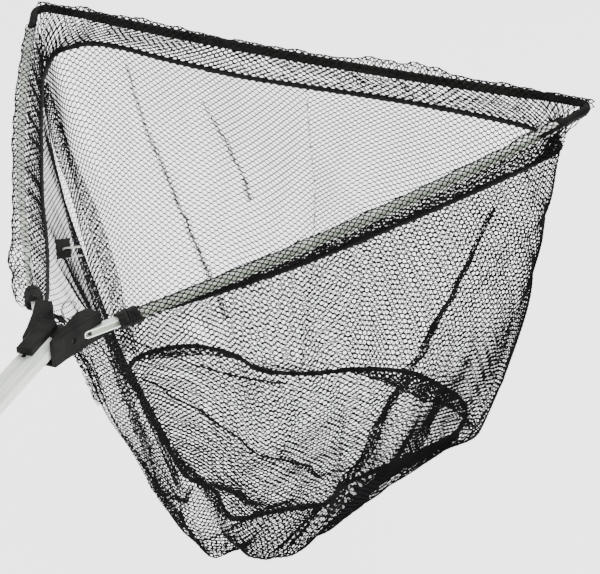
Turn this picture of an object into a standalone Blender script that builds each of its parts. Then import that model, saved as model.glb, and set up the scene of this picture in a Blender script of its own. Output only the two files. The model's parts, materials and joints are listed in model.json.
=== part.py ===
"""Folding triangular landing net on a telescopic handle.

Origin at the centre of the butt face. +Y runs along the handle to the front bar,
+X is the right arm's side and +Z is up, so the bag hangs towards -Z. Metres.
"""

import math

import bmesh
import bpy
from mathutils import Matrix, Vector

GAP = 0.0003

# Handle: two octagonal tubes, sizes across flats.
OUTER_TUBE_AF = 0.0270
OUTER_BORE_AF = 0.0248
OUTER_TUBE_START = 0.0060
OUTER_TUBE_END = 0.5600
INNER_TUBE_AF = 0.0240
INNER_BORE_AF = 0.0216
INNER_TUBE_START = 0.1300
GRIP_RADIUS = 0.0180
GRIP_START = 0.0150
GRIP_END = 0.2750
GRIP_BULGE = 0.0012
CAP_RADIUS = 0.0185
CAP_EDGE = 0.0020
CAP_PLUG_END = 0.0260
COLLAR_RADIUS = 0.0170
COLLAR_START = 0.5420
COLLAR_FLANGE_END = 0.5600
NUT_RADIUS = 0.0195
NUT_END = 0.6050
NUT_RIBS = 12
NUT_KNURL = 0.0008
NUT_CHAMFER = 0.0060
NUT_NOSE_SHARE = 0.92
THREAD_DEPTH = 0.0015
THREAD_END = NUT_END - 0.0080
BUSH_LENGTH = 0.0100
BUSH_SPIGOT = 0.0140

# Yoke: local y runs forward from its rear face, at YOKE_Y.
YOKE_Y = 0.8000
YOKE_TOP = 0.0130
YOKE_BOTTOM = -0.0145
YOKE_OUTLINE = ((0.016, 0.0), (0.0195, 0.016), (0.026, 0.038), (0.034, 0.060), (0.0175, 0.062), (0.008, 0.044))
SLOT_HALF = 0.0125
SLOT_FLOOR = -0.0124
FLOOR_FRONT = 0.0250
SLOT_FRONT = 0.0560
FOLD_Y = 0.0260
FOLD_PIN_RADIUS = 0.0025
FOLD_PIN_REACH = 0.0214
NOSE_RADIUS = 0.0120
NOSE_HALF_WIDTH = 0.0118
NOSE_PLUG_START = -0.0040
YOKE_EDGE = 0.0012

# Latch on top of the handle, in yoke-local y.
LATCH_REAR = -0.0240
LATCH_FRONT = 0.0240
LATCH_HALF = 0.0080
LATCH_TOP = 0.0200
LATCH_NECK_HALF = 0.0020
LATCH_FOOT_HALF = 0.0040
LATCH_NECK_REAR = -0.0150
LATCH_NECK_FRONT = -0.0060
LATCH_TRAVEL = 0.0130
LATCH_CHAMFER = 0.0020

# Arms: an arc in plan from the pivot to the front corner.
PIVOT_X = 0.0265
PIVOT_Y = YOKE_Y + 0.0480
CORNER_X = 0.3050
FRONT_Y = YOKE_Y + 0.5580
ARM_BOW = 0.0160
ARM_Z = -0.0030
ARM_HALF_WIDTH = 0.0035
ARM_HALF_HEIGHT = 0.0040
ARM_WALL = 0.0013
ARM_TAIL = 0.0070
ARM_PIN_RADIUS = 0.0016
ARM_POCKET_START = 0.0392
ARM_POCKET = ((0.0170, ARM_POCKET_START), (0.0400, ARM_POCKET_START), (0.0500, 0.0700), (0.0150, 0.0700),
              (0.0170, 0.0560))
TIP_LEG = 0.0500
TIP_RADIUS = 0.0041
TIP_BEND = 0.0100
TIP_BEND_SHARE = 0.0450
TIP_FRONT_LEG = 0.0600
TIP_SPIGOT = 0.0200
CORD_RADIUS = 0.0042
CORD_BOW = 0.0060

# Net, measured from the bar it hangs on: hems reach in and down to the rim tape.
HEM_IN = 0.0240
HEM_DOWN = 0.0330
HEM_RADIUS = 0.0090
HEM_SKIN = 0.0015
HEM_FOOT_OUTER = 0.0018
HEM_FOOT_INNER = 0.0004
HEM_FOOT_RISE = 0.0040
FRONT_HEM_IN = 0.0060
HEM_START = 0.0480
HEM_END = 0.0450
FRONT_HEM_HALF = 0.2300
TAPE_HALF = 0.0018
TAPE_END = 0.0300
FRONT_TAPE_HALF = 0.2380
WALL_START = 0.1000
WALL_FRONT_SPREAD = 1.0700
TAPE_DROP = HEM_DOWN + TAPE_HALF + 0.0016
NET_SKIN = 0.0020
BASE_Z = -0.3180
BASE_SAG = 0.0600
BASE_REAR = Vector((0.066, YOKE_Y + 0.236, BASE_Z))
BASE_LEFT = Vector((-0.168, YOKE_Y + 0.430, BASE_Z))
BASE_RIGHT = Vector((0.186, YOKE_Y + 0.464, BASE_Z))
BINDING_LENGTH = 0.0220
BINDING_RADIUS = 0.0080
BINDING_BORE = 0.0059
RING_RADIUS = 0.0130
RING_CENTRE = Vector((0.002, YOKE_Y + 0.0655, 0.001))
WIRE_RADIUS = 0.0009
BUCKLE_AT = 0.1600
BUCKLE_IN = 0.0100
BUCKLE_DOWN = 0.0020
BUCKLE_HALF = (0.0120, 0.0070, 0.0034)
BUCKLE_SLOT_AT = 0.0030
BUCKLE_SLOT_HALF = (0.0030, 0.0100, 0.0018)
HOOK_AT = 0.0080
HOOK_HALF = 0.0050
HOOK_REACH = 0.0165
HOOK_RADIUS = 0.0010
HOOK_BEND = 0.0015

UP = Vector((0, 0, 1))


def clear_scene():
    for old in list(bpy.data.objects):
        bpy.data.objects.remove(old, do_unlink=True)


def material(name, colour, roughness, metallic=0.0):
    made = bpy.data.materials.new(name)
    made.use_nodes = True
    shader = made.node_tree.nodes["Principled BSDF"]
    shader.inputs["Base Color"].default_value = (*colour, 1.0)
    shader.inputs["Roughness"].default_value = roughness
    shader.inputs["Metallic"].default_value = metallic
    return made


def add(name, mesh, origin, finish, smooth=False):
    """Make the object, with its origin on the axis of the joint that moves it."""
    bmesh.ops.recalc_face_normals(mesh, faces=mesh.faces)
    bmesh.ops.translate(mesh, verts=mesh.verts, vec=-Vector(origin))
    data = bpy.data.meshes.new(name)
    mesh.to_mesh(data)
    mesh.free()
    made = bpy.data.objects.new(name, data)
    made.location = origin
    bpy.context.collection.objects.link(made)
    data.materials.append(finish)
    if smooth:
        data.shade_smooth()
        data.set_sharp_from_angle(angle=math.radians(35))
    return made


def cutter(name, mesh):
    made = add(name, mesh, (0, 0, 0), MATERIALS["black_plastic"])
    made.hide_render = True
    made.display_type = "WIRE"
    return made


def boolean(target, tool, operation="DIFFERENCE"):
    change = target.modifiers.new(tool.name, "BOOLEAN")
    change.operation = operation
    change.solver = "EXACT"
    change.object = tool


def loft(rings, closed=False):
    """A closed body through rings of equal length, capped unless the path is closed."""
    mesh = bmesh.new()
    rows = [[mesh.verts.new(point) for point in ring] for ring in rings]
    count = len(rows[0])
    pairs = list(zip(rows, rows[1:]))
    if closed:
        pairs.append((rows[-1], rows[0]))
    for one, two in pairs:
        for i in range(count):
            j = (i + 1) % count
            mesh.faces.new((one[i], one[j], two[j], two[i]))
    if not closed:
        mesh.faces.new(rows[0][::-1])
        mesh.faces.new(rows[-1])
    return mesh


def hollow_loft(outer, inner):
    """A tube between two sets of rings, open at both ends."""
    mesh = bmesh.new()
    skins = [[[mesh.verts.new(point) for point in ring] for ring in rings] for rings in (outer, inner)]
    count = len(outer[0])
    for i in range(count):
        j = (i + 1) % count
        for skin in skins:
            for one, two in zip(skin, skin[1:]):
                mesh.faces.new((one[i], one[j], two[j], two[i]))
        for end in (0, -1):
            out, into = skins[0][end], skins[1][end]
            mesh.faces.new((out[i], out[j], into[j], into[i]))
    return mesh


def polygon(radius, sides, turn=0.0):
    step = 2 * math.pi / sides
    return [(radius * math.cos(turn + i * step), radius * math.sin(turn + i * step)) for i in range(sides)]


def octagon(across_flats):
    return polygon(across_flats / 2 / math.cos(math.pi / 8), 8, math.pi / 8)


def ring_y(outline, y):
    return [Vector((x, y, z)) for x, z in outline]


def box(low, high):
    (x0, y0, z0), (x1, y1, z1) = low, high
    outline = ((x0, z0), (x1, z0), (x1, z1), (x0, z1))
    return loft([ring_y(outline, y0), ring_y(outline, y1)])


def plate(outline, z0, z1):
    """An outline in plan, from z0 up to z1."""
    return loft([[Vector((x, y, z)) for x, y in outline] for z in (z0, z1)])


def rod(start, end, radius, sides=16):
    start, end = Vector(start), Vector(end)
    turn = (end - start).to_track_quat("Z", "Y")
    circle = [turn @ Vector((x, y, 0)) for x, y in polygon(radius, sides, math.pi / sides)]
    return loft([[start + p for p in circle], [end + p for p in circle]])


def turned(profile, sides=32):
    """A solid turned about the Y axis from (y, radius) pairs."""
    return loft([ring_y(polygon(radius, sides), y) for y, radius in profile])


def frames(path, closed=False):
    """Each point of a level path with its outward (sideways) direction."""
    last = len(path) - 1
    found = []
    for i, point in enumerate(path):
        before = path[i - 1] if i or closed else point
        after = path[(i + 1) % len(path)] if i < last or closed else point
        along = after - before
        along.z = 0
        found.append((point, along.normalized().cross(UP)))
    return found


def sweep(path, section, closed=False):
    """Rings of a section of (sideways, up) offsets carried along a level path."""
    return [[point + side * a + UP * b for a, b in section] for point, side in frames(path, closed)]


def mirrored(rings, side):
    return [[Vector((p.x * side, p.y, p.z)) for p in ring] for ring in rings]


def arc_point(share):
    """The right arm's centre line: 0 at the pivot and 1 at the front corner."""
    start = Vector((PIVOT_X, PIVOT_Y, ARM_Z))
    end = Vector((CORNER_X, FRONT_Y, ARM_Z))
    outward = (end - start).normalized().cross(UP)
    return start.lerp(end, share) + outward * (4 * ARM_BOW * share * (1 - share))


ARC_LENGTH = (Vector((CORNER_X, FRONT_Y)) - Vector((PIVOT_X, PIVOT_Y))).length


def arc_path(start, end, steps):
    """Points of the arm's centre line between two distances from the pivot."""
    shares = [(start + (end - start) * i / steps) / ARC_LENGTH for i in range(steps + 1)]
    return [arc_point(share) for share in shares]


def handle():
    outer, bore = octagon(OUTER_TUBE_AF), octagon(OUTER_BORE_AF)
    ends = (OUTER_TUBE_START, OUTER_TUBE_END)
    tube = hollow_loft([ring_y(outer, y) for y in ends], [ring_y(bore, y) for y in ends])
    add("handle_tube_outer", tube, (0, 0, 0), MATERIALS["aluminium"])

    plug = octagon(OUTER_BORE_AF - 2 * GAP)
    rim = [(0, CAP_RADIUS - CAP_EDGE), (CAP_EDGE, CAP_RADIUS), (OUTER_TUBE_START - GAP, CAP_RADIUS)]
    cap = add("end_cap", turned(rim), (0, 0, 0), MATERIALS["black_plastic"], smooth=True)
    inside = loft([ring_y(plug, CAP_EDGE), ring_y(plug, CAP_PLUG_END)])
    boolean(cap, cutter("end_cap_plug", inside), "UNION")

    shape = [(GRIP_START, GRIP_RADIUS - 0.0015), (GRIP_START + 0.004, GRIP_RADIUS)]
    shape += [(GRIP_START + 0.06, GRIP_RADIUS + GRIP_BULGE), (GRIP_END - 0.08, GRIP_RADIUS)]
    shape += [(GRIP_END - 0.004, GRIP_RADIUS - GRIP_BULGE / 2), (GRIP_END, GRIP_RADIUS - 0.0025)]
    grip = add("grip", turned(shape), (0, 0, 0), MATERIALS["foam"], smooth=True)
    sleeve = octagon(OUTER_TUBE_AF + 2 * GAP)
    bored = loft([ring_y(sleeve, GRIP_START - 0.01), ring_y(sleeve, GRIP_END + 0.01)])
    boolean(grip, cutter("grip_bore", bored))


def lock():
    """The threaded collar on the outer tube and the nut that clamps the inner tube."""
    step = [(COLLAR_START, COLLAR_RADIUS - 0.001), (COLLAR_START + 0.001, COLLAR_RADIUS)]
    step += [(COLLAR_FLANGE_END, COLLAR_RADIUS), (COLLAR_FLANGE_END, COLLAR_RADIUS - THREAD_DEPTH)]
    step += [(THREAD_END, COLLAR_RADIUS - THREAD_DEPTH)]
    collar = add("tube_collar", turned(step), (0, 0, 0), MATERIALS["black_plastic"], smooth=True)
    seat = octagon(OUTER_TUBE_AF + 2 * GAP)
    throat = octagon(INNER_TUBE_AF + 2 * GAP)
    rear = loft([ring_y(seat, COLLAR_START - 0.01), ring_y(seat, OUTER_TUBE_END + GAP)])
    front = loft([ring_y(throat, OUTER_TUBE_END - 0.01), ring_y(throat, NUT_END)])
    boolean(collar, cutter("collar_seat", rear))
    boolean(collar, cutter("collar_throat", front))

    outside = []
    for i in range(NUT_RIBS * 4):
        radius = NUT_RADIUS - (NUT_KNURL if i % 4 in (2, 3) else 0)
        angle = 2 * math.pi * i / (NUT_RIBS * 4)
        outside.append((radius * math.cos(angle), radius * math.sin(angle)))
    taper = [(x * NUT_NOSE_SHARE, z * NUT_NOSE_SHARE) for x, z in outside]
    nut_rings = [ring_y(outside, COLLAR_FLANGE_END + GAP), ring_y(outside, NUT_END - NUT_CHAMFER)]
    nut_rings += [ring_y(taper, NUT_END)]
    nut = add("lock_nut", loft(nut_rings), (0, 0, 0), MATERIALS["black_plastic"], smooth=True)
    bore = COLLAR_RADIUS - THREAD_DEPTH + GAP + 0.0001
    thread = [(COLLAR_FLANGE_END - 0.01, bore), (THREAD_END + GAP + 0.0001, bore)]
    boolean(nut, cutter("nut_thread", turned(thread)))
    mouth = INNER_TUBE_AF / 2 / math.cos(math.pi / 8) + 2 * GAP
    boolean(nut, cutter("nut_mouth", turned([(NUT_END - 0.02, mouth), (NUT_END + 0.01, mouth)])))


def inner_tube():
    tube_end = YOKE_Y + FOLD_Y - NOSE_RADIUS - 0.002
    outer, bore = octagon(INNER_TUBE_AF), octagon(INNER_BORE_AF)
    ends = (INNER_TUBE_START, tube_end)
    body = hollow_loft([ring_y(outer, y) for y in ends], [ring_y(bore, y) for y in ends])
    tube = add("handle_tube_inner", body, (0, 0, 0), MATERIALS["aluminium"])
    half = LATCH_NECK_HALF + GAP
    slot_low = (-half, YOKE_Y + LATCH_NECK_REAR - LATCH_TRAVEL - GAP, 0.008)
    slot_high = (half, YOKE_Y + LATCH_NECK_FRONT + GAP, 0.020)
    boolean(tube, cutter("latch_slot", box(slot_low, slot_high)))

    foot = octagon(OUTER_BORE_AF - 2 * GAP)
    spigot = octagon(INNER_BORE_AF - 2 * GAP)
    rear, face = INNER_TUBE_START - BUSH_LENGTH, INNER_TUBE_START - GAP
    bush = add("inner_bush", loft([ring_y(foot, rear), ring_y(foot, face)]), (0, 0, 0), MATERIALS["black_plastic"])
    inside = loft([ring_y(spigot, face - 0.003), ring_y(spigot, face + BUSH_SPIGOT)])
    boolean(bush, cutter("bush_spigot", inside), "UNION")

    axis = Vector((0, YOKE_Y + FOLD_Y, 0))
    steps = 10
    side = [(tube_end + GAP, NOSE_RADIUS), (tube_end + GAP, -NOSE_RADIUS)]
    for i in range(steps + 1):
        angle = math.pi * (i / steps - 0.5)
        side.append((axis.y + NOSE_RADIUS * math.cos(angle), NOSE_RADIUS * math.sin(angle)))
    rings = [[Vector((x, y, z)) for y, z in side] for x in (-NOSE_HALF_WIDTH, NOSE_HALF_WIDTH)]
    nose = add("handle_nose", loft(rings), axis, MATERIALS["black_plastic"], smooth=True)
    plug_start = YOKE_Y + NOSE_PLUG_START
    boolean(nose, cutter("nose_plug", loft([ring_y(spigot, plug_start), ring_y(spigot, tube_end + 0.004)])), "UNION")
    hole = rod((-0.03, axis.y, 0), (0.03, axis.y, 0), FOLD_PIN_RADIUS + GAP)
    boolean(nose, cutter("nose_hole", hole))


def latch():
    """A raised slider whose neck runs in a slot in the tube's top flat."""
    rear, front = YOKE_Y + LATCH_REAR, YOKE_Y + LATCH_FRONT
    low, shoulder = INNER_TUBE_AF / 2 + GAP, LATCH_TOP - LATCH_CHAMFER
    outline = [(-LATCH_HALF, low), (LATCH_HALF, low), (LATCH_HALF, shoulder), (LATCH_HALF - LATCH_CHAMFER, LATCH_TOP)]
    outline += [(LATCH_CHAMFER - LATCH_HALF, LATCH_TOP), (-LATCH_HALF, shoulder)]
    slider = add("latch_slider", loft([ring_y(outline, rear), ring_y(outline, front)]), (0, rear, low),
                 MATERIALS["black_plastic"])
    neck_rear, neck_front = YOKE_Y + LATCH_NECK_REAR, YOKE_Y + LATCH_NECK_FRONT
    under = INNER_BORE_AF / 2 - GAP
    neck = [(-LATCH_NECK_HALF, low + 0.002), (-LATCH_NECK_HALF, under), (-LATCH_FOOT_HALF, under)]
    neck += [(-LATCH_FOOT_HALF, under - 0.002), (LATCH_FOOT_HALF, under - 0.002), (LATCH_FOOT_HALF, under)]
    neck += [(LATCH_NECK_HALF, under), (LATCH_NECK_HALF, low + 0.002)]
    boolean(slider, cutter("latch_neck", loft([ring_y(neck, neck_rear), ring_y(neck, neck_front)])), "UNION")


def yoke():
    axis = Vector((0, YOKE_Y + FOLD_Y, 0))
    right = [(x, YOKE_Y + y) for x, y in YOKE_OUTLINE]
    left = [(-x, y) for x, y in reversed(right)]
    block = add("yoke", plate(right + left, YOKE_BOTTOM, YOKE_TOP), axis, MATERIALS["black_plastic"])
    edge = block.modifiers.new("edges", "BEVEL")
    edge.width = YOKE_EDGE
    edge.segments = 2
    edge.limit_method = "ANGLE"
    edge.angle_limit = math.radians(30)

    channel = box((-SLOT_HALF, YOKE_Y - 0.01, SLOT_FLOOR), (SLOT_HALF, YOKE_Y + SLOT_FRONT, 0.03))
    boolean(block, cutter("yoke_channel", channel))
    gap = box((-SLOT_HALF, YOKE_Y + FLOOR_FRONT, -0.03), (SLOT_HALF, YOKE_Y + SLOT_FRONT, 0.0))
    boolean(block, cutter("yoke_front_gap", gap))
    bored = rod((-0.05, axis.y, 0), (0.05, axis.y, 0), FOLD_PIN_RADIUS + GAP)
    boolean(block, cutter("yoke_fold_hole", bored))
    pin = rod((-FOLD_PIN_REACH, axis.y, 0), (FOLD_PIN_REACH, axis.y, 0), FOLD_PIN_RADIUS)
    add("fold_pin", pin, axis, MATERIALS["steel"], smooth=True)

    for side, word in ((1, "right"), (-1, "left")):
        half = ARM_HALF_HEIGHT + 0.0005
        pocket = [(side * x, YOKE_Y + y) for x, y in ARM_POCKET]
        slot = plate(pocket, ARM_Z - half, ARM_Z + half)
        boolean(block, cutter("arm_slot_" + word, slot))
        place = Vector((side * PIVOT_X, PIVOT_Y, 0))
        hole = rod(place + UP * -0.03, place + UP * 0.03, ARM_PIN_RADIUS + GAP, 12)
        boolean(block, cutter("arm_pin_hole_" + word, hole))
        pivot = rod(place + UP * (YOKE_BOTTOM + 0.0005), place + UP * (YOKE_TOP - 0.0005), ARM_PIN_RADIUS, 12)
        add("arm_pin_" + word, pivot, place, MATERIALS["steel"], smooth=True)


def rounded_bar(start, end, half_width, half_height, offset, steps):
    """A bar along the arm's arc whose ends are round when seen from the side."""
    round_steps = 5
    stops = []
    for i in range(round_steps):
        turn = math.pi / 2 * (i + 0.35) / round_steps
        stops.append((start + half_height * (1 - math.cos(turn)), half_height * math.sin(turn)))
    length = end - start
    middle = [(start + half_height + (length - half_height) * i / steps, half_height) for i in range(steps + 1)]
    rings = []
    for distance, tall in stops + middle:
        here = arc_point(distance / ARC_LENGTH)
        ahead = arc_point((distance + 0.001) / ARC_LENGTH)
        side = (ahead - here).normalized().cross(UP)
        centre = here + side * offset
        section = ((-half_width, -tall), (half_width, -tall), (half_width, tall), (-half_width, tall))
        rings.append([centre + side * a + UP * b for a, b in section])
    return rings


def arms():
    """Bowed U-channels, open outwards, and the elbow tips plugged into their ends."""
    arm_end = ARC_LENGTH - TIP_LEG
    groove = ARM_HALF_HEIGHT - ARM_WALL
    for side, word in ((1, "right"), (-1, "left")):
        pivot = Vector((side * PIVOT_X, PIVOT_Y, 0))
        bar = rounded_bar(-ARM_TAIL, arm_end, ARM_HALF_WIDTH, ARM_HALF_HEIGHT, 0.0, 20)
        arm = add("arm_" + word, loft(mirrored(bar, side)), pivot, MATERIALS["aluminium"])
        cut = rounded_bar(ARM_WALL - ARM_TAIL, arm_end + 0.004, ARM_HALF_WIDTH, groove, ARM_WALL, 20)
        boolean(arm, cutter("arm_groove_" + word, loft(mirrored(cut, side))))
        hole = rod(pivot + UP * -0.02, pivot + UP * 0.02, ARM_PIN_RADIUS + GAP, 12)
        boolean(arm, cutter("arm_hole_" + word, hole))

        tip = add("arm_tip_" + word, loft(mirrored(tip_rings(), side)), pivot, MATERIALS["rubber"], smooth=True)
        spigot_path = arc_path(arm_end - TIP_SPIGOT, arm_end + 0.004, 4)
        wide, tall = ARM_HALF_WIDTH - ARM_WALL / 2 - GAP, groove - GAP
        middle = ARM_WALL / 2
        section = [(middle - wide, -tall), (middle + wide, -tall), (middle + wide, tall), (middle - wide, tall)]
        boolean(tip, cutter("tip_spigot_" + word, loft(mirrored(sweep(spigot_path, section), side))), "UNION")


def tip_path():
    """The elbow's centre line: the end of the arc, a bend, and a leg along the front."""
    leg = arc_path(ARC_LENGTH - TIP_LEG + GAP, ARC_LENGTH * (1 - TIP_BEND_SHARE), 3)
    corner = Vector((CORNER_X, FRONT_Y, ARM_Z))
    into = (corner - leg[-1]).normalized()
    out = Vector((-1, 0, 0))
    turn = into.angle(out)
    back = TIP_BEND * math.tan(turn / 2)
    start = corner - into * back
    centre = start + into.cross(UP) * -TIP_BEND
    steps = 8
    arc = [centre + Matrix.Rotation(turn * i / steps, 3, "Z") @ (start - centre) for i in range(steps + 1)]
    return leg + arc + [corner + out * (TIP_FRONT_LEG - 0.015), corner + out * TIP_FRONT_LEG]


def tip_rings():
    return sweep(tip_path(), polygon(TIP_RADIUS, 12, math.pi / 12))


def front_point(share):
    """The taut front cord: 0 at the left tip and 1 at the right, drawn in by the net."""
    half = CORNER_X - TIP_FRONT_LEG - GAP
    pulled = 4 * CORD_BOW * share * (1 - share)
    return Vector((half * (2 * share - 1), FRONT_Y - pulled * 0.7, ARM_Z - pulled * 0.4))


def front_path(half, steps):
    whole = CORNER_X - TIP_FRONT_LEG - GAP
    edge = 0.5 - half / whole / 2
    return [front_point(edge + (1 - 2 * edge) * i / steps) for i in range(steps + 1)]


def hem_section(inward, down, radius, reach):
    """A teardrop: round over the bar, drawn to a point at the rim tape."""
    tail = Vector((-inward, -down))
    length = tail.length
    away = -tail / length
    across = Vector((-away.y, away.x))
    points = []
    steps = 6
    for i in range(steps + 1):
        turn = math.pi * (i / steps - 0.5)
        points.append(away * radius * math.cos(turn) + across * radius * math.sin(turn))
    slim = HEM_FOOT_OUTER if reach else HEM_FOOT_INNER
    foot = tail * ((length - (0 if reach else HEM_FOOT_RISE)) / length)
    return [tuple(p) for p in points] + [tuple(foot + across * slim), tuple(foot - across * slim)]


def flipped(section):
    """The same section for a path whose sideways direction points inwards."""
    return [(-a, b) for a, b in section]


def hems():
    centre = (0, YOKE_Y + FOLD_Y, 0)
    for side, word in ((1, "right"), (-1, "left")):
        pivot = (side * PIVOT_X, PIVOT_Y, 0)
        path = arc_path(HEM_START, ARC_LENGTH - HEM_END, 12)
        outer = sweep(path, hem_section(HEM_IN, HEM_DOWN, HEM_RADIUS, True))
        inner = sweep(path, hem_section(HEM_IN, HEM_DOWN, HEM_RADIUS - HEM_SKIN, False))
        body = hollow_loft(mirrored(outer, side), mirrored(inner, side))
        add("net_sleeve_" + word, body, pivot, MATERIALS["mesh"])

        tape = [(-HEM_IN + a, -TAPE_DROP + b) for a, b in square(TAPE_HALF)]
        rings = sweep(arc_path(HEM_START, ARC_LENGTH - TAPE_END, 12), tape)
        add("rim_tape_" + word, loft(mirrored(rings, side)), pivot, MATERIALS["tape"])

        cuff = arc_path(HEM_START - BINDING_LENGTH - GAP, HEM_START - GAP, 3)
        skins = [mirrored(sweep(cuff, polygon(radius, 10)), side) for radius in (BINDING_RADIUS, BINDING_BORE)]
        body = hollow_loft(*skins)
        add("sleeve_binding_" + word, body, pivot, MATERIALS["tape"])

    path = front_path(FRONT_HEM_HALF, 12)
    outer = sweep(path, flipped(hem_section(FRONT_HEM_IN, HEM_DOWN, HEM_RADIUS, True)))
    inner = sweep(path, flipped(hem_section(FRONT_HEM_IN, HEM_DOWN, HEM_RADIUS - HEM_SKIN, False)))
    add("net_sleeve_front", hollow_loft(outer, inner), centre, MATERIALS["mesh"])
    tape = flipped([(-FRONT_HEM_IN + a, -TAPE_DROP + b) for a, b in square(TAPE_HALF)])
    add("rim_tape_front", loft(sweep(front_path(FRONT_TAPE_HALF, 12), tape)), centre, MATERIALS["tape"])
    cord = sweep(front_path(CORNER_X - TIP_FRONT_LEG - GAP, 16), polygon(CORD_RADIUS, 12))
    add("front_cord", loft(cord), centre, MATERIALS["tape"], smooth=True)


def square(half):
    return [(-half, -half), (half, -half), (half, half), (-half, half)]


def wall(name, top, bottom, rows=4):
    """A thin skin between an upper and a lower edge that have the same number of points."""
    mesh = bmesh.new()
    grid = [[mesh.verts.new(a.lerp(b, r / rows)) for a, b in zip(top, bottom)] for r in range(rows + 1)]
    for upper, lower in zip(grid, grid[1:]):
        for i in range(len(upper) - 1):
            mesh.faces.new((upper[i], upper[i + 1], lower[i + 1], lower[i]))
    made = add(name, mesh, (0, YOKE_Y + FOLD_Y, 0), MATERIALS["mesh"])
    skin = made.modifiers.new("skin", "SOLIDIFY")
    skin.thickness = NET_SKIN
    skin.offset = 0
    return made


def straight(start, end, count):
    return [start.lerp(end, i / (count - 1)) for i in range(count)]


def bag():
    top_z = ARM_Z - TAPE_DROP - TAPE_HALF - 0.0015
    lift = UP * (TAPE_HALF + 0.0030)
    for side, word, corner in ((1, "right", BASE_RIGHT), (-1, "left", BASE_LEFT)):
        edge = []
        for point, outward in frames(arc_path(WALL_START, ARC_LENGTH - TAPE_END, 8)):
            inner = point - outward * HEM_IN
            edge.append(Vector((side * inner.x, inner.y, top_z)))
        top = [Vector((side * 0.006, YOKE_Y + 0.075, top_z))] + edge
        rear = BASE_REAR + Vector((side * 0.003, 0, 0))
        front = corner + Vector((0, -0.004, 0))
        wall("net_wall_" + word, top, [p + lift for p in straight(rear, front, len(top))])
    top = []
    for point in front_path(FRONT_TAPE_HALF, 8):
        top.append(Vector((point.x * WALL_FRONT_SPREAD, point.y - FRONT_HEM_IN, point.z - ARM_Z + top_z)))
    inset = Vector((0.006, 0.003, 0))
    left, right = BASE_LEFT + inset, BASE_RIGHT + Vector((-0.006, 0.003, 0))
    wall("net_wall_front", top, [p + lift for p in straight(left, right, len(top))])


def base_loop(per_side):
    corners = (BASE_REAR, BASE_RIGHT, BASE_LEFT)
    points = []
    for i, corner in enumerate(corners):
        points += [corner.lerp(corners[(i + 1) % 3], k / per_side) for k in range(per_side)]
    return points


def base():
    centre = (0, YOKE_Y + FOLD_Y, 0)
    loop = base_loop(5)
    add("base_tape", loft(sweep(loop, square(TAPE_HALF), closed=True), closed=True), centre, MATERIALS["tape"])

    middle = (BASE_REAR + BASE_RIGHT + BASE_LEFT) / 3
    start = UP * -(TAPE_HALF + 0.0015)
    mesh = bmesh.new()
    rings = []
    for shrink, sag in ((0.0, 0.0), (0.3, 0.62), (0.65, 0.92)):
        ring = [mesh.verts.new(p.lerp(middle, shrink) + start - UP * BASE_SAG * sag) for p in loop]
        rings.append(ring)
    lowest = mesh.verts.new(middle + start - UP * BASE_SAG)
    count = len(loop)
    for i in range(count):
        j = (i + 1) % count
        for one, two in zip(rings, rings[1:]):
            mesh.faces.new((one[i], one[j], two[j], two[i]))
        mesh.faces.new((rings[-1][i], rings[-1][j], lowest))
    made = add("net_base", mesh, centre, MATERIALS["mesh"])
    skin = made.modifiers.new("skin", "SOLIDIFY")
    skin.thickness = NET_SKIN
    skin.offset = 1


def fittings():
    """The wire tie at the net's rear corner, and the buckle on the left rim tape."""
    axis = (0, YOKE_Y + FOLD_Y, 0)
    steps, sides = 20, 6
    rings = []
    for i in range(steps):
        turn = 2 * math.pi * i / steps
        out = Vector((math.cos(turn), 0, math.sin(turn)))
        place = RING_CENTRE + out * RING_RADIUS
        rings.append([place + out * a + Vector((0, b, 0)) for a, b in polygon(WIRE_RADIUS, sides)])
    add("net_tie_ring", loft(rings, closed=True), axis, MATERIALS["steel"], smooth=True)

    point, outward = frames(arc_path(BUCKLE_AT, BUCKLE_AT + TAPE_END, 2))[1]
    along = UP.cross(outward)
    place = point - outward * (HEM_IN + BUCKLE_IN) - UP * (HEM_DOWN + BUCKLE_DOWN)
    pivot = (-PIVOT_X, PIVOT_Y, 0)
    body = slab(place, along, outward, *BUCKLE_HALF)
    slot = slab(place + along * BUCKLE_SLOT_AT, along, outward, *BUCKLE_SLOT_HALF)
    buckle = add("tape_buckle", loft(mirrored(body, -1)), pivot, MATERIALS["black_plastic"])
    boolean(buckle, cutter("buckle_slot", loft(mirrored(slot, -1))))
    through = place - along * HOOK_AT
    ends = [through + UP * s for s in (-HOOK_HALF, HOOK_HALF)]
    ends = [Vector((-p.x, p.y, p.z)) for p in ends]
    boolean(buckle, cutter("buckle_hole", rod(*ends, HOOK_RADIUS + GAP, 10)))

    corner = HOOK_BEND * 0.3
    lower = [(HOOK_REACH, -HOOK_HALF), (HOOK_BEND, -HOOK_HALF), (corner, corner - HOOK_HALF)]
    lower += [(0, HOOK_BEND - HOOK_HALF)]
    line = lower + [(a, -b) for a, b in reversed(lower)]
    rings = []
    for i, (a, b) in enumerate(line):
        before, after = line[max(i - 1, 0)], line[min(i + 1, len(line) - 1)]
        ahead = (UP * (after[1] - before[1]) - outward * (after[0] - before[0])).normalized()
        side = ahead.cross(along)
        centre = through + UP * b - outward * a
        rings.append([centre + side * x + along * y for x, y in polygon(HOOK_RADIUS, 8)])
    add("tape_buckle_pin", loft(mirrored(rings, -1)), pivot, MATERIALS["steel"], smooth=True)


def slab(place, along, outward, half_long, half_deep, half_tall):
    section = ((-half_deep, -half_tall), (half_deep, -half_tall), (half_deep, half_tall), (-half_deep, half_tall))
    return [[place + along * s + outward * a + UP * b for a, b in section] for s in (-half_long, half_long)]


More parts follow.
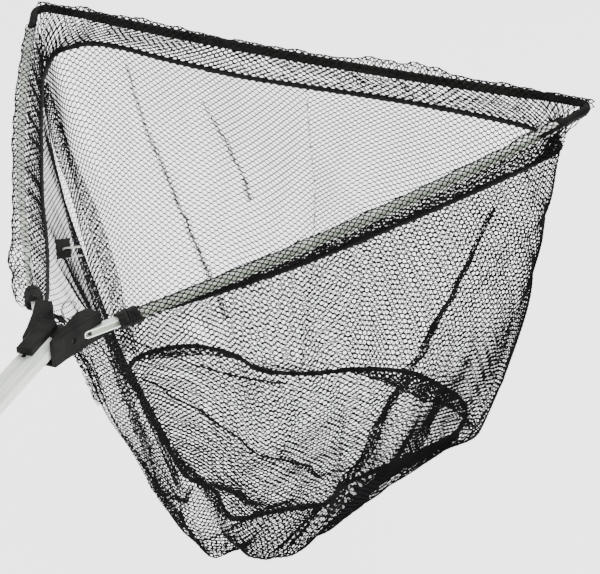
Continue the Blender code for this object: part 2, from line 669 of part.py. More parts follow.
clear_scene()
MATERIALS = {
    "aluminium": material("anodised_aluminium", (0.62, 0.66, 0.60), 0.38, 1.0),
    "black_plastic": material("black_plastic", (0.022, 0.022, 0.021), 0.45),
    "foam": material("black_foam", (0.018, 0.018, 0.018), 0.9),
    "rubber": material("black_rubber_tip", (0.016, 0.016, 0.014), 0.6),
    "tape": material("black_woven_tape", (0.010, 0.010, 0.010), 0.85),
    "mesh": material("black_netting", (0.030, 0.030, 0.030), 0.8),
    "steel": material("steel", (0.55, 0.55, 0.54), 0.3, 1.0),
}
handle()
lock()
inner_tube()
latch()
yoke()
arms()
hems()
bag()
base()
fittings()
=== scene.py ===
import json
import math

import bpy
import numpy as np
from mathutils import Matrix, Vector


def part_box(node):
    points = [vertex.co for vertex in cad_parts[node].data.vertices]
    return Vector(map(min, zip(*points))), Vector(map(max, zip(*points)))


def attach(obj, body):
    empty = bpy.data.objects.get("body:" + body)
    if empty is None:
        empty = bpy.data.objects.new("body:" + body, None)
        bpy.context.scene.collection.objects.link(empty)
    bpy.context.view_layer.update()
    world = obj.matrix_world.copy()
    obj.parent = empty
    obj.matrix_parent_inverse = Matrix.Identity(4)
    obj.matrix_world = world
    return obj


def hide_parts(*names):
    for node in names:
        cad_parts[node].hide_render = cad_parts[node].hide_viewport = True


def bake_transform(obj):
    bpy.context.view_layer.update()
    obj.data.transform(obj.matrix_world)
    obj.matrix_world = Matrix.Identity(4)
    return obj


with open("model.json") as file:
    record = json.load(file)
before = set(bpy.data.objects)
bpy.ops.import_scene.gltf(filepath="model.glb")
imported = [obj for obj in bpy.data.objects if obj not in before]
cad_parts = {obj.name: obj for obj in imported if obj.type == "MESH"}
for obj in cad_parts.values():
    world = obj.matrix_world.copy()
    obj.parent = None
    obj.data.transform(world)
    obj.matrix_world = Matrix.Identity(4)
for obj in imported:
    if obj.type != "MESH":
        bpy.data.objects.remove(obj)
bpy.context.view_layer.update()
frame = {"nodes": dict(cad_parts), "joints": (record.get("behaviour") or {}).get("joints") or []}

# ---- Sizes, from the frame where it has them. Metres. ----
JOINTS = {joint["name"]: joint for joint in frame["joints"]}
PIVOT = np.array(JOINTS["right_arm_fold"]["pos_m"], float)
YOKE_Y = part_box("yoke")[0][1]
ARM_Z = -0.003
CORNER = np.array([0.3050, YOKE_Y + 0.5580, ARM_Z])
ARM_BOW = 0.0160
CORD_BOW = 0.0060
CORD_HALF = 0.2460

# The rim tape beside each arm: share of the arm, distance inwards and height.
TAPE_SHARE = (0.085, 0.16, 0.30, 0.45, 0.60, 0.80, 0.93)
TAPE_IN = (0.0120, 0.0160, 0.0200, 0.0175, 0.0165, 0.0120, 0.0075)
TAPE_Z = (-0.012, -0.020, -0.031, -0.0345, -0.037, -0.039, -0.040)
RIM_REAR = ((0.000, 0.068, -0.012), (0.022, 0.069, -0.009), (0.038, 0.074, -0.008))
RIM_FRONT = ((0.276, 0.538, -0.0440), (0.258, 0.547, -0.0420), (0.235, 0.552, -0.0370),
             (0.180, 0.552, -0.0340), (0.090, 0.552, -0.0335), (0.000, 0.552, -0.0365),
             (-0.075, 0.551, -0.0375), (-0.160, 0.552, -0.0340), (-0.205, 0.552, -0.0300),
             (-0.240, 0.552, -0.0310), (-0.263, 0.548, -0.0370), (-0.278, 0.538, -0.0430))

# Rings of the bag: side and share along it, then x, y from the yoke and z.
BELLY = ((0.00, 0.020, 0.104, -0.150), (0.50, 0.158, 0.270, -0.190), (1.00, 0.257, 0.483, -0.160),
         (1.50, 0.000, 0.535, -0.190), (2.00, -0.223, 0.473, -0.179), (2.25, -0.180, 0.396, -0.188),
         (2.50, -0.115, 0.298, -0.184), (2.75, -0.030, 0.205, -0.172))
HIP = ((0.00, 0.044, 0.158, -0.296), (0.07, 0.050, 0.170, -0.329), (0.15, 0.068, 0.188, -0.322),
       (0.30, 0.088, 0.205, -0.346), (0.45, 0.118, 0.236, -0.346), (0.60, 0.142, 0.280, -0.334),
       (0.75, 0.160, 0.328, -0.326), (0.90, 0.202, 0.398, -0.317), (1.00, 0.209, 0.441, -0.308),
       (1.50, 0.000, 0.490, -0.310), (2.00, -0.170, 0.430, -0.312), (2.25, -0.140, 0.388, -0.308),
       (2.50, -0.072, 0.320, -0.308), (2.80, 0.006, 0.215, -0.308))
LOOP_Z = -0.318
LOOP = ((0.068, 0.217), (0.098, 0.248), (0.132, 0.272), (0.133, 0.306), (0.155, 0.340), (0.185, 0.394),
        (0.201, 0.425), (0.189, 0.466), (0.153, 0.489), (0.112, 0.501), (0.060, 0.492), (0.010, 0.466),
        (-0.030, 0.456), (-0.068, 0.470), (-0.113, 0.474), (-0.144, 0.452), (-0.163, 0.424), (-0.128, 0.381),
        (-0.096, 0.343), (-0.059, 0.306), (-0.021, 0.267), (0.018, 0.252), (0.045, 0.227))
LOOP_CORNERS = (0, 7, 16)

# Creases of the bag: fewest and most per side, lean, depth and the part they are on.
CREASES = ((2, 5, 1.2, 0.0030, "all"), (5, 11, 2.5, 0.0016, "all"), (10, 22, 2.0, 0.0040, "rear"))

# Local swellings of the bag: turn and its half width, height and its half width, and depth (inwards).
SWELLINGS = ((1.03, 0.16, 0.17, 0.12, -0.013), (2.92, 0.11, 0.18, 0.13, 0.013))

# Hems: cloth round the bar, half length of the front one, and how far the left one's netting is stretched.
SIDE_HEM_GIRTH = 0.094
FRONT_HEM_GIRTH = 0.088
FRONT_HEM_HALF = 0.303
LEFT_HEM_STRETCH = 1.3

# Netting: cells are longer across than down, and the thread is double along their short sides.
CELL = 0.0040
PITCH = 0.0057
KNOT = 0.0015
THREAD = 0.00061
KNOT_THREAD = 0.00096

# ---- Camera and studio ----
def camera():
    azimuth, elevation, roll = math.radians(28.9), math.radians(32.73), math.radians(-5.42)
    distance, focal_px = 5.0, 5205.8
    toward = Vector((math.sin(azimuth) * math.cos(elevation), -math.cos(azimuth) * math.cos(elevation),
                     math.sin(elevation)))
    right = (-toward).cross(Vector((0, 0, 1))).normalized()
    up = right.cross(-toward)
    right, up = right * math.cos(roll) + up * math.sin(roll), up * math.cos(roll) - right * math.sin(roll)
    target = Vector((0, YOKE_Y + 0.35, -0.1)) + right * 0.0747 - up * 0.0388
    data = bpy.data.cameras.new("camera")
    made = bpy.data.objects.new("camera", data)
    bpy.context.collection.objects.link(made)
    made.matrix_world = frame_matrix(right, up, toward, target + toward * distance)
    data.sensor_width = 36.0
    data.lens = focal_px / 600 * data.sensor_width
    data.clip_end = 60
    bpy.context.scene.camera = made


def frame_matrix(right, up, back, place):
    made = Matrix.Identity(4)
    for row in range(3):
        made[row][0], made[row][1], made[row][2], made[row][3] = right[row], up[row], back[row], place[row]
    return made


def studio():
    data = bpy.data.meshes.new("floor")
    half = 14.0
    corners = [(-half, -half, 0), (half, -half, 0), (half, half, 0), (-half, half, 0)]
    data.from_pydata(corners, [], [(0, 1, 2, 3)])
    floor = bpy.data.objects.new("floor", data)
    floor.location = (0, 1.0, -1.1)
    bpy.context.collection.objects.link(floor)
    pale = bpy.data.materials.new("studio_floor")
    pale.use_nodes = True
    shader = pale.node_tree.nodes["Principled BSDF"]
    shader.inputs["Base Color"].default_value = (0.93, 0.93, 0.93, 1)
    shader.inputs["Roughness"].default_value = 0.9
    shader.inputs["Emission Color"].default_value = (1, 1, 1, 1)
    shader.inputs["Emission Strength"].default_value = 1.25
    data.materials.append(pale)
    world = bpy.data.worlds.new("studio")
    world.use_nodes = True
    world.node_tree.nodes["Background"].inputs["Color"].default_value = (1, 1, 1, 1)
    world.node_tree.nodes["Background"].inputs["Strength"].default_value = 1.1
    bpy.context.scene.world = world
    lamp("key", (1.6, -1.2, 2.6), 2.2, 260)
    lamp("fill", (-2.4, -0.6, 1.4), 2.4, 80)
    lamp("rim", (0.2, 3.6, 1.8), 2.0, 90)


def lamp(name, place, size, power):
    data = bpy.data.lights.new(name, "AREA")
    data.size = size
    data.energy = power
    made = bpy.data.objects.new(name, data)
    made.location = place
    aim = Vector((0, YOKE_Y + 0.3, -0.1)) - Vector(place)
    made.rotation_euler = aim.to_track_quat("-Z", "Y").to_euler()
    bpy.context.collection.objects.link(made)


# ---- Materials ----
def new_material(name, colour, roughness, metallic=0.0):
    made = bpy.data.materials.new(name)
    made.use_nodes = True
    shader = made.node_tree.nodes["Principled BSDF"]
    shader.inputs["Base Color"].default_value = (*colour, 1)
    shader.inputs["Roughness"].default_value = roughness
    shader.inputs["Metallic"].default_value = metallic
    shader.inputs["Specular IOR Level"].default_value = 0.5 if metallic else 0.05
    return made, made.node_tree, shader


def node(tree, kind, **values):
    made = tree.nodes.new(kind)
    for name, value in values.items():
        if name in made.inputs:
            made.inputs[name].default_value = value
        else:
            setattr(made, name, value)
    return made


def ramp(tree, source, low, high, start=0.35, end=0.65):
    made = tree.nodes.new("ShaderNodeValToRGB")
    made.color_ramp.elements[0].position = start
    made.color_ramp.elements[0].color = (*low, 1)
    made.color_ramp.elements[1].position = end
    made.color_ramp.elements[1].color = (*high, 1)
    tree.links.new(source, made.inputs["Fac"])
    return made.outputs["Color"]


def span(tree, source, low, high):
    made = tree.nodes.new("ShaderNodeMapRange")
    made.inputs["To Min"].default_value = low
    made.inputs["To Max"].default_value = high
    tree.links.new(source, made.inputs["Value"])
    return made.outputs["Result"]


def noise(tree, scale, detail=3.0, stretch=None):
    place = tree.nodes.new("ShaderNodeTexCoord").outputs["Object"]
    if stretch:
        mapping = tree.nodes.new("ShaderNodeMapping")
        mapping.inputs["Scale"].default_value = stretch
        tree.links.new(place, mapping.inputs["Vector"])
        place = mapping.outputs["Vector"]
    made = node(tree, "ShaderNodeTexNoise", Scale=scale, Detail=detail)
    tree.links.new(place, made.inputs["Vector"])
    return made.outputs["Fac"]


def bump(tree, shader, height, distance, strength=0.6):
    made = tree.nodes.new("ShaderNodeBump")
    made.inputs["Distance"].default_value = distance
    made.inputs["Strength"].default_value = strength
    tree.links.new(height, made.inputs["Height"])
    tree.links.new(made.outputs["Normal"], shader.inputs["Normal"])


def aluminium():
    """Pale anodised aluminium, drawn lengthwise, with a faint green cast."""
    made, tree, shader = new_material("anodised_aluminium", (0.7, 0.74, 0.68), 0.42, 0.85)
    streaks = noise(tree, 90.0, 4.0, (6.0, 0.25, 6.0))
    tree.links.new(ramp(tree, streaks, (0.62, 0.67, 0.60), (0.80, 0.84, 0.77)), shader.inputs["Base Color"])
    tree.links.new(span(tree, noise(tree, 35.0), 0.36, 0.52), shader.inputs["Roughness"])
    bump(tree, shader, streaks, 0.00006)
    return made


def plastic(name, low, high, rough):
    """Moulded black plastic: fine spark-eroded grain, slightly paler on worn places."""
    made, tree, shader = new_material(name, low, rough)
    tree.links.new(ramp(tree, noise(tree, 60.0, 5.0), low, high), shader.inputs["Base Color"])
    tree.links.new(span(tree, noise(tree, 250.0), rough - 0.06, rough + 0.10), shader.inputs["Roughness"])
    bump(tree, shader, noise(tree, 1800.0, 2.0), 0.00012)
    return made


def woven(name, low, high, wave_scale):
    """Woven black tape: fine cross ribs and a soft sheen."""
    made, tree, shader = new_material(name, low, 0.85)
    shader.inputs["Sheen Weight"].default_value = 0.05
    shader.inputs["Sheen Roughness"].default_value = 0.5
    tree.links.new(ramp(tree, noise(tree, 140.0, 4.0), low, high), shader.inputs["Base Color"])
    tree.links.new(span(tree, noise(tree, 400.0), 0.75, 0.95), shader.inputs["Roughness"])
    place = tree.nodes.new("ShaderNodeTexCoord").outputs["Object"]
    ribs = node(tree, "ShaderNodeTexWave", Scale=wave_scale, Distortion=2.0)
    ribs.bands_direction = "DIAGONAL"
    tree.links.new(place, ribs.inputs["Vector"])
    bump(tree, shader, ribs.outputs["Fac"], 0.0003, 0.8)
    return made


def thread():
    """Twisted black nylon thread."""
    made, tree, shader = new_material("netting_thread", (0.004, 0.004, 0.004), 0.7)
    tree.links.new(ramp(tree, noise(tree, 30.0, 3.0), (0.002, 0.002, 0.002), (0.007, 0.0065, 0.0075)),
                   shader.inputs["Base Color"])
    tree.links.new(span(tree, noise(tree, 500.0), 0.55, 0.8), shader.inputs["Roughness"])
    return made


def steel():
    made, tree, shader = new_material("plain_steel", (0.62, 0.62, 0.58), 0.3, 1.0)
    tree.links.new(ramp(tree, noise(tree, 200.0, 3.0), (0.50, 0.50, 0.46), (0.72, 0.72, 0.68)),
                   shader.inputs["Base Color"])
    tree.links.new(span(tree, noise(tree, 300.0), 0.22, 0.42), shader.inputs["Roughness"])
    return made


def foam():
    made, tree, shader = new_material("grip_foam", (0.02, 0.02, 0.02), 0.92)
    tree.links.new(ramp(tree, noise(tree, 300.0, 5.0), (0.012, 0.012, 0.012), (0.032, 0.032, 0.032)),
                   shader.inputs["Base Color"])
    tree.links.new(span(tree, noise(tree, 600.0), 0.82, 0.98), shader.inputs["Roughness"])
    bump(tree, shader, noise(tree, 1200.0, 3.0), 0.0004, 0.9)
    return made


# ---- Curves of the frame and the bag ----
def arm_line(share):
    """The right arm's centre line, 0 at its pivot and 1 at the front corner."""
    share = np.asarray(share, float)[:, None]
    start, end = np.array([PIVOT[0], PIVOT[1], ARM_Z]), CORNER
    along = (end - start) / np.linalg.norm(end - start)
    outward = np.array([along[1], -along[0], 0.0])
    return start + (end - start) * share + outward * (4 * ARM_BOW * share * (1 - share))




def sideways(points):
    """The level direction to the right of a path, at each of its points."""
    along = np.gradient(points, axis=0)
    along[:, 2] = 0
    along /= np.linalg.norm(along, axis=1)[:, None]
    return np.stack([along[:, 1], -along[:, 0], np.zeros(len(along))], 1)


def even(points, count):
    """The same path with points at equal distances."""
    steps = np.linalg.norm(np.diff(points, axis=0), axis=1)
    far = np.concatenate([[0], np.cumsum(steps)])
    want = np.linspace(0, far[-1], count)
    return np.stack([np.interp(want, far, points[:, k]) for k in range(3)], 1)


def mirror(points):
    return points * np.array([-1.0, 1.0, 1.0])


def waves(x, seed, count=5, low=1.0, high=9.0):
    """A smooth seeded curve in -1..1."""
    rng = np.random.default_rng(seed)
    total = np.zeros_like(x)
    for _ in range(count):
        total += np.sin(2 * np.pi * (rng.uniform(low, high) * x + rng.uniform())) / count
    return total * 1.6


def curve(stops, closed=False, fine=24):
    """A smooth path through all the stops (Catmull-Rom)."""
    stops = np.asarray(stops, float)
    count = len(stops)
    legs = count if closed else count - 1
    if closed:
        around = np.vstack([stops[-1:], stops, stops[:2]])
    else:
        around = np.vstack([2 * stops[:1] - stops[1:2], stops, 2 * stops[-1:] - stops[-2:-1]])
    made = []
    t = np.linspace(0, 1, fine, endpoint=False)[:, None]
    for k in range(legs):
        p0, p1, p2, p3 = around[k:k + 4]
        made.append(0.5 * (2 * p1 + (p2 - p0) * t + (2 * p0 - 5 * p1 + 4 * p2 - p3) * t ** 2
                           + (3 * p1 - p0 - 3 * p2 + p3) * t ** 3))
    made = np.vstack(made)
    return made if closed else np.vstack([made, stops[-1:]])


def from_yoke(stops):
    return np.asarray(stops, float) + np.array([0, YOKE_Y, 0])


SIDE = 160
ROWS = 90
RING = 3 * SIDE


def side_tape(shares):
    """The rim tape's centre line beside the right arm."""
    line = arm_line(shares)
    tape = line - sideways(line) * np.interp(shares, TAPE_SHARE, TAPE_IN)[:, None]
    tape[:, 2] = np.interp(shares, TAPE_SHARE, TAPE_Z)
    return tape


def front_bar(count, half):
    """The centre line of the front cord, from the right to the left."""
    x = np.linspace(half, -half, count)
    pulled = CORD_BOW * np.clip(1 - (x / CORD_HALF) ** 2, 0, 1)
    return np.stack([x, CORNER[1] - 0.7 * pulled, ARM_Z - 0.4 * pulled], 1)


def closed_rim():
    shares = np.linspace(TAPE_SHARE[0], TAPE_SHARE[-1], 60)
    right = even(curve(np.vstack([from_yoke(RIM_REAR), side_tape(shares)[::6]])), SIDE + 1)
    left = mirror(right)[::-1]
    front = even(curve(np.vstack([right[-1:], from_yoke(RIM_FRONT), left[:1]])), SIDE + 1)
    return np.vstack([right[:-1], front[:-1], left[:-1]])


def closed_loop():
    """The seam round the bottom panel, in three sides of SIDE points each."""
    stops = np.array([(x, YOKE_Y + y, LOOP_Z) for x, y in LOOP])
    fine = 24
    line = curve(stops, closed=True, fine=fine)
    line = np.vstack([line, line[:1]])
    line[:, 2] += 0.004 * waves(np.arange(len(line)) / len(line), 31, 6, 3, 12)
    line[-1] = line[0]
    cuts = [corner * fine for corner in LOOP_CORNERS] + [len(line) - 1]
    return np.vstack([even(line[a:b + 1], SIDE + 1)[:-1] for a, b in zip(cuts, cuts[1:])])


def ring_through(stops):
    """A closed ring through stops given as (side and share, x, y, z)."""
    turns = np.array([stop[0] for stop in stops])
    places = from_yoke([stop[1:] for stop in stops])
    line = curve(places, closed=True, fine=24)
    line = np.vstack([line, line[:1]])
    steps = np.append(turns, 3.0)
    at = np.interp(np.arange(len(line)) / 24, np.arange(len(steps)), steps)
    want = np.arange(RING) / SIDE
    return np.stack([np.interp(want, at, line[:, k]) for k in range(3)], 1)


def smooth_ring(points, passes):
    for _ in range(passes):
        points = (np.roll(points, 1, axis=0) + 2 * points + np.roll(points, -1, axis=0)) / 4
    return points


def bag_grid():
    """Rows of points from the rim down the walls, under, and back in to the bottom seam."""
    belly, hip = smooth_ring(ring_through(BELLY), 40), smooth_ring(ring_through(HIP), 12)
    columns = np.stack([closed_rim(), belly, hip, closed_loop()], 1)
    grid = np.stack([even(curve(column, fine=16), ROWS) for column in columns], 1)
    down = np.linspace(0, 1, ROWS)[:, None]
    turn = np.arange(RING)[None] / SIDE
    normal = np.cross(np.roll(grid, -1, axis=1) - np.roll(grid, 1, axis=1), np.gradient(grid, axis=0))
    normal /= np.linalg.norm(normal, axis=2)[..., None] + 1e-9
    near_rear = np.exp(-(np.minimum(turn, 3 - turn) / 0.28) ** 2) * np.clip((down - 0.15) / 0.25, 0, 1)
    calm = 1 - 0.9 * np.exp(-((turn - 2.40) / 0.36) ** 4)
    fade = np.sin(np.pi * down) ** 0.6
    rng = np.random.default_rng(8)
    push = np.zeros_like(turn + down)
    for low, high, lean, size, part in CREASES:
        for _ in range(4):
            phase = rng.uniform(low, high) * turn + rng.uniform(-lean, lean) * down + rng.uniform()
            crease = 1 - 2 * np.abs(np.sin(np.pi * phase)) ** 0.8
            swell = 0.5 + 0.5 * np.sin(2 * np.pi * (rng.uniform(0.4, 1.5) * down + rng.uniform()))
            push = push + size * (near_rear if part == "rear" else calm) * crease * swell
    for around, wide, height, tall, depth in SWELLINGS:
        push = push + depth * np.exp(-((turn - around) / wide) ** 2) * np.exp(-((down - height) / tall) ** 2)
    grid = grid + normal * (push * fade)[..., None]
    for _ in range(2):
        grid[1:-1] = (grid[:-2] + 2 * grid[1:-1] + grid[2:]) / 4
    return grid


GRID = bag_grid()


def on_bag(turn, v):
    """Points of the bag. turn runs 0 to 3 round the sides and v 0 to 1 down to the seam."""
    across = np.asarray(turn, float) * SIDE
    down = np.clip(np.asarray(v, float), 0, 1) * (ROWS - 1)
    i0 = np.floor(across).astype(int)
    j0 = np.clip(np.floor(down).astype(int), 0, ROWS - 2)
    a, b = (across - i0)[..., None], (down - j0)[..., None]
    i0 = i0 % RING
    i1 = (i0 + 1) % RING
    top = GRID[j0, i0] * (1 - a) + GRID[j0, i1] * a
    low = GRID[j0 + 1, i0] * (1 - a) + GRID[j0 + 1, i1] * a
    return top * (1 - b) + low * b


# ---- Netting ----
def lattice(width, height):
    """Knotless hexagonal mesh in the flat: (n, 2) points, (m, 2) strands and which are knots."""
    columns = int(width / CELL) + 3
    rows = int(height / PITCH) + 3
    k, i = np.meshgrid(np.arange(columns), np.arange(rows))
    x = (k - columns / 2) * CELL
    y = (i - 1 + 0.5 * (k % 2)) * PITCH
    near = np.stack([x, y], -1)
    far = np.stack([x + KNOT, y], -1)
    points = np.concatenate([near.reshape(-1, 2), far.reshape(-1, 2)])
    index = np.arange(rows * columns).reshape(rows, columns)
    other = index + rows * columns
    edges = [np.stack([index.ravel(), other.ravel()], 1)]
    for column in range(columns - 1):
        one, two = other[:, column], index[:, column + 1]
        edges.append(np.stack([one, two], 1))
        if column % 2:
            edges.append(np.stack([one[:-1], two[1:]], 1))
        else:
            edges.append(np.stack([one[1:], two[:-1]], 1))
    knots = np.zeros(sum(len(e) for e in edges), bool)
    knots[:rows * columns] = True
    return points, np.concatenate(edges), knots


def tubes(name, starts, ends, radius):
    """Open three-sided strands between pairs of points, as one mesh."""
    count = len(starts)
    along = ends - starts
    length = np.linalg.norm(along, axis=1)
    keep = length > 1e-5
    starts, ends, along, length, radius = starts[keep], ends[keep], along[keep], length[keep], radius[keep]
    count = len(starts)
    along /= length[:, None]
    help_axis = np.where(np.abs(along[:, 2:3]) < 0.9, (0.0, 0.0, 1.0), (1.0, 0.0, 0.0))
    one = np.cross(along, help_axis)
    one /= np.linalg.norm(one, axis=1)[:, None]
    two = np.cross(along, one)
    rings = []
    for end in (starts, ends):
        for k in range(3):
            turn = 2 * np.pi * k / 3
            rings.append(end + (one * math.cos(turn) + two * math.sin(turn)) * radius[:, None])
    points = np.stack(rings, 1).reshape(-1, 3)
    base = np.arange(count) * 6
    faces = []
    for k in range(3):
        after = (k + 1) % 3
        faces.append(np.stack([base + k, base + after, base + 3 + after, base + 3 + k], 1))
    return quads(name, points, np.concatenate(faces))


def quads(name, points, faces, smooth=True):
    data = bpy.data.meshes.new(name)
    data.vertices.add(len(points))
    data.vertices.foreach_set("co", np.ascontiguousarray(points, np.float32).ravel())
    data.loops.add(faces.size)
    data.loops.foreach_set("vertex_index", np.ascontiguousarray(faces, np.int32).ravel())
    data.polygons.add(len(faces))
    data.polygons.foreach_set("loop_start", np.arange(0, faces.size, 4, dtype=np.int32))
    data.update(calc_edges=True)
    if smooth:
        data.shade_smooth()
    made = bpy.data.objects.new(name, data)
    bpy.context.collection.objects.link(made)
    return made


def netting(name, place, top, bottom, height, thick=1.0):
    """Netting cut as a trapezium and laid on place(u, v), with u and v from 0 to 1."""
    points, edges, knots = lattice(max(top, bottom), height)
    v = points[:, 1] / height
    width = top + (bottom - top) * np.clip(v, 0, 1)
    u = points[:, 0] / width + 0.5
    inside = (u >= 0) & (u <= 1) & (v >= 0) & (v <= 1)
    kept = inside[edges[:, 0]] | inside[edges[:, 1]]
    edges, knots = edges[kept], knots[kept]
    at = place(np.clip(u, 0, 1), np.clip(v, 0, 1))
    radius = np.where(knots, KNOT_THREAD, THREAD) * thick
    made = tubes(name, at[edges[:, 0]], at[edges[:, 1]], radius)
    made.data.materials.append(THREAD_MATERIAL)
    return made


def hang(piece):
    """Bakes the piece's transform into its mesh; the piece is attached to no body."""
    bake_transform(piece)


def path_length(points):
    return float(np.linalg.norm(np.diff(points, axis=0), axis=1).sum())


def wall(name, start, end, cad, thick=1.0, stretch=1.0):
    """One part of the bag's wall between two turns, its netting stretched along the rim."""
    turns = np.linspace(start, end, 200)
    middle = 0.55
    top = path_length(on_bag(turns, np.zeros(200)))
    low = top + (path_length(on_bag(turns, np.full(200, middle))) - top) / middle * 0.9
    top, low = top / stretch, low / stretch
    down = np.linspace(0, 1, 200)
    height = np.mean([path_length(on_bag(np.full(200, t), down)) for t in np.linspace(start, end, 9)])
    piece = netting(name, lambda u, v: on_bag(start + (end - start) * u, v), top, low, height, thick)
    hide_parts(*cad)
    hang(piece)


def bag():
    wall("net_right", 0.0, 1.0, ["net_wall_right"])
    wall("net_front_right", 1.0, 1.5, ["net_wall_front"])
    wall("net_front_left", 1.5, 2.0, ["net_wall_front"])
    wall("net_left", 2.0, 3.0, ["net_wall_left"], 0.6, 1.6)


def flap():
    """Slack netting doubled over on the front wall beside its left corner, wider towards the bottom."""
    start, narrow, widen, low, reach = 2.03, 0.055, 0.040, 0.03, 0.90

    def place(u, v):
        side = np.abs(2 * u - 1)
        at = on_bag(start - (narrow + widen * v) * side, low + reach * v)
        at[:, 1] -= 0.0026 + 0.0018 * (u - 0.5) + 0.0010 * waves(v + 0.3 * u, 301, 6, 2, 9)
        return at

    wide = []
    for share in (0.1, 0.5, 0.9):
        turns = np.linspace(start, start - narrow - widen * share, 40)
        wide.append(2 * path_length(on_bag(turns, np.full(40, low + reach * share))))
    tall = path_length(on_bag(np.full(100, start), np.linspace(low, low + reach, 100)))
    piece = netting("net_flap", place, wide[0], wide[2], tall, 0.75)
    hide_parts("net_wall_front")
    hang(piece)


def on_bottom(side, v):
    """Points of the bottom panel. side runs 0 left to 1 right and v 0 front to 1 rear."""
    full = np.ones_like(v)
    left, right = on_bag(2 + v, full), on_bag(1 - v, full)
    front, corner_left, corner_right = on_bag(2 - side, full), on_bag(2 * full, full), on_bag(full, full)
    side, back = side[:, None], v[:, None]
    made = left * (1 - side) + right * side
    made += (front - corner_left * (1 - side) - corner_right * side) * (1 - back)
    across = (4 * side * (1 - side))[:, 0]
    ripple = waves(v * 0.6 + side[:, 0] * 0.8, 77, 6, 1, 7) * 0.0030 * across * np.sin(np.pi * v)
    made[:, 2] += ripple - 0.020 * across * np.sin(np.pi * v) ** 0.8
    return made


def bottom():
    """The bottom panel, which sags between its seams, in a right and a left half."""
    for right_side in (True, False):
        sign = 0.5 if right_side else -0.5
        width, height = 0.205, 0.285
        word = "right" if right_side else "left"
        piece = netting("net_bottom_" + word, lambda u, v: on_bottom(0.5 + sign * u, v), width, 0.010, height)
        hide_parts("net_base")
        hang(piece)


def hem_place(bar, foot, seed, radius, shift=0.0, crumple=1.0):
    """Netting round a bar: u along the bar, and v from the tape up, over the bar and back down."""
    side = sideways(bar)
    bar = bar + (side - (0, 0, 0.7)) * np.reshape(shift, (-1, 1))
    legs = 0.40

    def place(u, v):
        spot = u * (len(bar) - 1)
        i = np.clip(spot.astype(int), 0, len(bar) - 2)
        f = (spot - i)[:, None]
        centre = bar[i] * (1 - f) + bar[i + 1] * f
        outward = side[i] * (1 - f) + side[i + 1] * f
        reach = foot[i] * (1 - f) + foot[i + 1] * f - centre
        inward = (reach * outward).sum(1)
        along = reach - outward * inward[:, None]
        along[:, 2] = 0
        tail = np.stack([inward, reach[:, 2]], 1)
        away = -tail / np.linalg.norm(tail, axis=1)[:, None]
        across = np.stack([-away[:, 1], away[:, 0]], 1)
        puff = radius(u) * (1 + 0.14 * waves(u, seed + 1, 6, 3, 15))
        up, down = np.clip(v / legs, 0, 1)[:, None], np.clip((1 - v) / legs, 0, 1)[:, None]
        turn = np.pi * ((v - legs) / (1 - 2 * legs) - 0.5)
        over = away * (puff * np.cos(turn))[:, None] + across * (puff * np.sin(turn))[:, None]
        rise = tail * (1 - up) - across * puff[:, None] * up
        fall = tail * (1 - down) + across * puff[:, None] * down
        flat = np.where((v < legs)[:, None], rise, np.where((v > 1 - legs)[:, None], fall, over))
        leg = np.sin(np.pi * np.clip(np.minimum(v, 1 - v) / legs, 0, 1))
        ruffle = crumple * (0.0016 + 0.0014 * waves(u + 0.10 * v, seed + 2, 8, 5, 22))
        flat = flat + across * (np.where(v < 0.5, -1, 1) * leg * ruffle)[:, None]
        ease = 1 - np.clip(np.minimum(v, 1 - v) / legs, 0, 1)
        made = centre + outward * flat[:, :1] + along * ease[:, None]
        made[:, 2] += flat[:, 1]
        return made
    return place


def bump_at(u, middle, half):
    return np.exp(-((u - middle) / half) ** 2)


def side_slack(right_side):
    """How far the side hem stands off its arm: the left one is looser in the middle and near the yoke."""
    if right_side:
        return lambda u: 0.0056 + 0.0020 * bump_at(u, 0.96, 0.05)
    return lambda u: 0.0058 + 0.0020 * bump_at(u, 0.50, 0.30) + 0.0064 * bump_at(u, 0.94, 0.18)


def front_slack(right_side):
    """How far the front hem stands off the cord: tight at its corner and looser in one place."""
    corner, tight, reach, loose, at, seed = (
        (0.0, 0.0012, 0.20, 0.0070, 0.66, 71) if right_side else (1.0, 0.0013, 0.30, 0.0020, 0.70, 72))

    def slack(u):
        even_part = 0.0062 - tight * bump_at(u, corner, reach) + loose * bump_at(u, at, 0.20)
        return even_part + 0.0012 * waves(u, seed, 5, 1, 6)
    return slack


def hems():
    """The mesh hems that wrap the arms and the front cord, with the tape sewn under them."""
    shares = np.linspace(TAPE_SHARE[0], 1.0, 160)
    arm, tape = arm_line(shares), side_tape(np.minimum(shares, TAPE_SHARE[-1]))
    length, girth = path_length(arm), SIDE_HEM_GIRTH
    slump = (0.0055 * bump_at(shares, 0.12, 0.16))[::-1]
    for right_side, word in ((True, "right"), (False, "left")):
        bar, foot = (arm, tape) if right_side else (mirror(arm)[::-1], mirror(tape)[::-1])
        place = hem_place(bar, foot, 50 if right_side else 60, side_slack(right_side),
                          0.0 if right_side else slump, 1.0 if right_side else 0.6)
        cut = length if right_side else length / LEFT_HEM_STRETCH
        piece = netting("net_hem_" + word, place, cut, cut, girth, 1.0 if right_side else 0.85)
        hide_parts("net_sleeve_" + word)
        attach(piece, word + "_arm")
    count = 161
    bar = front_bar(count, FRONT_HEM_HALF)
    front = GRID[0, SIDE:2 * SIDE + 1]
    for right_side, word in ((True, "right"), (False, "left")):
        pick = slice(0, count // 2 + 1) if right_side else slice(count // 2, count)
        place = hem_place(bar[pick], front[pick], 70 if right_side else 80, front_slack(right_side))
        length, girth = path_length(bar[pick]), FRONT_HEM_GIRTH
        piece = netting("net_hem_front_" + word, place, length, length, girth)
        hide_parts("net_sleeve_front")
        hang(piece)


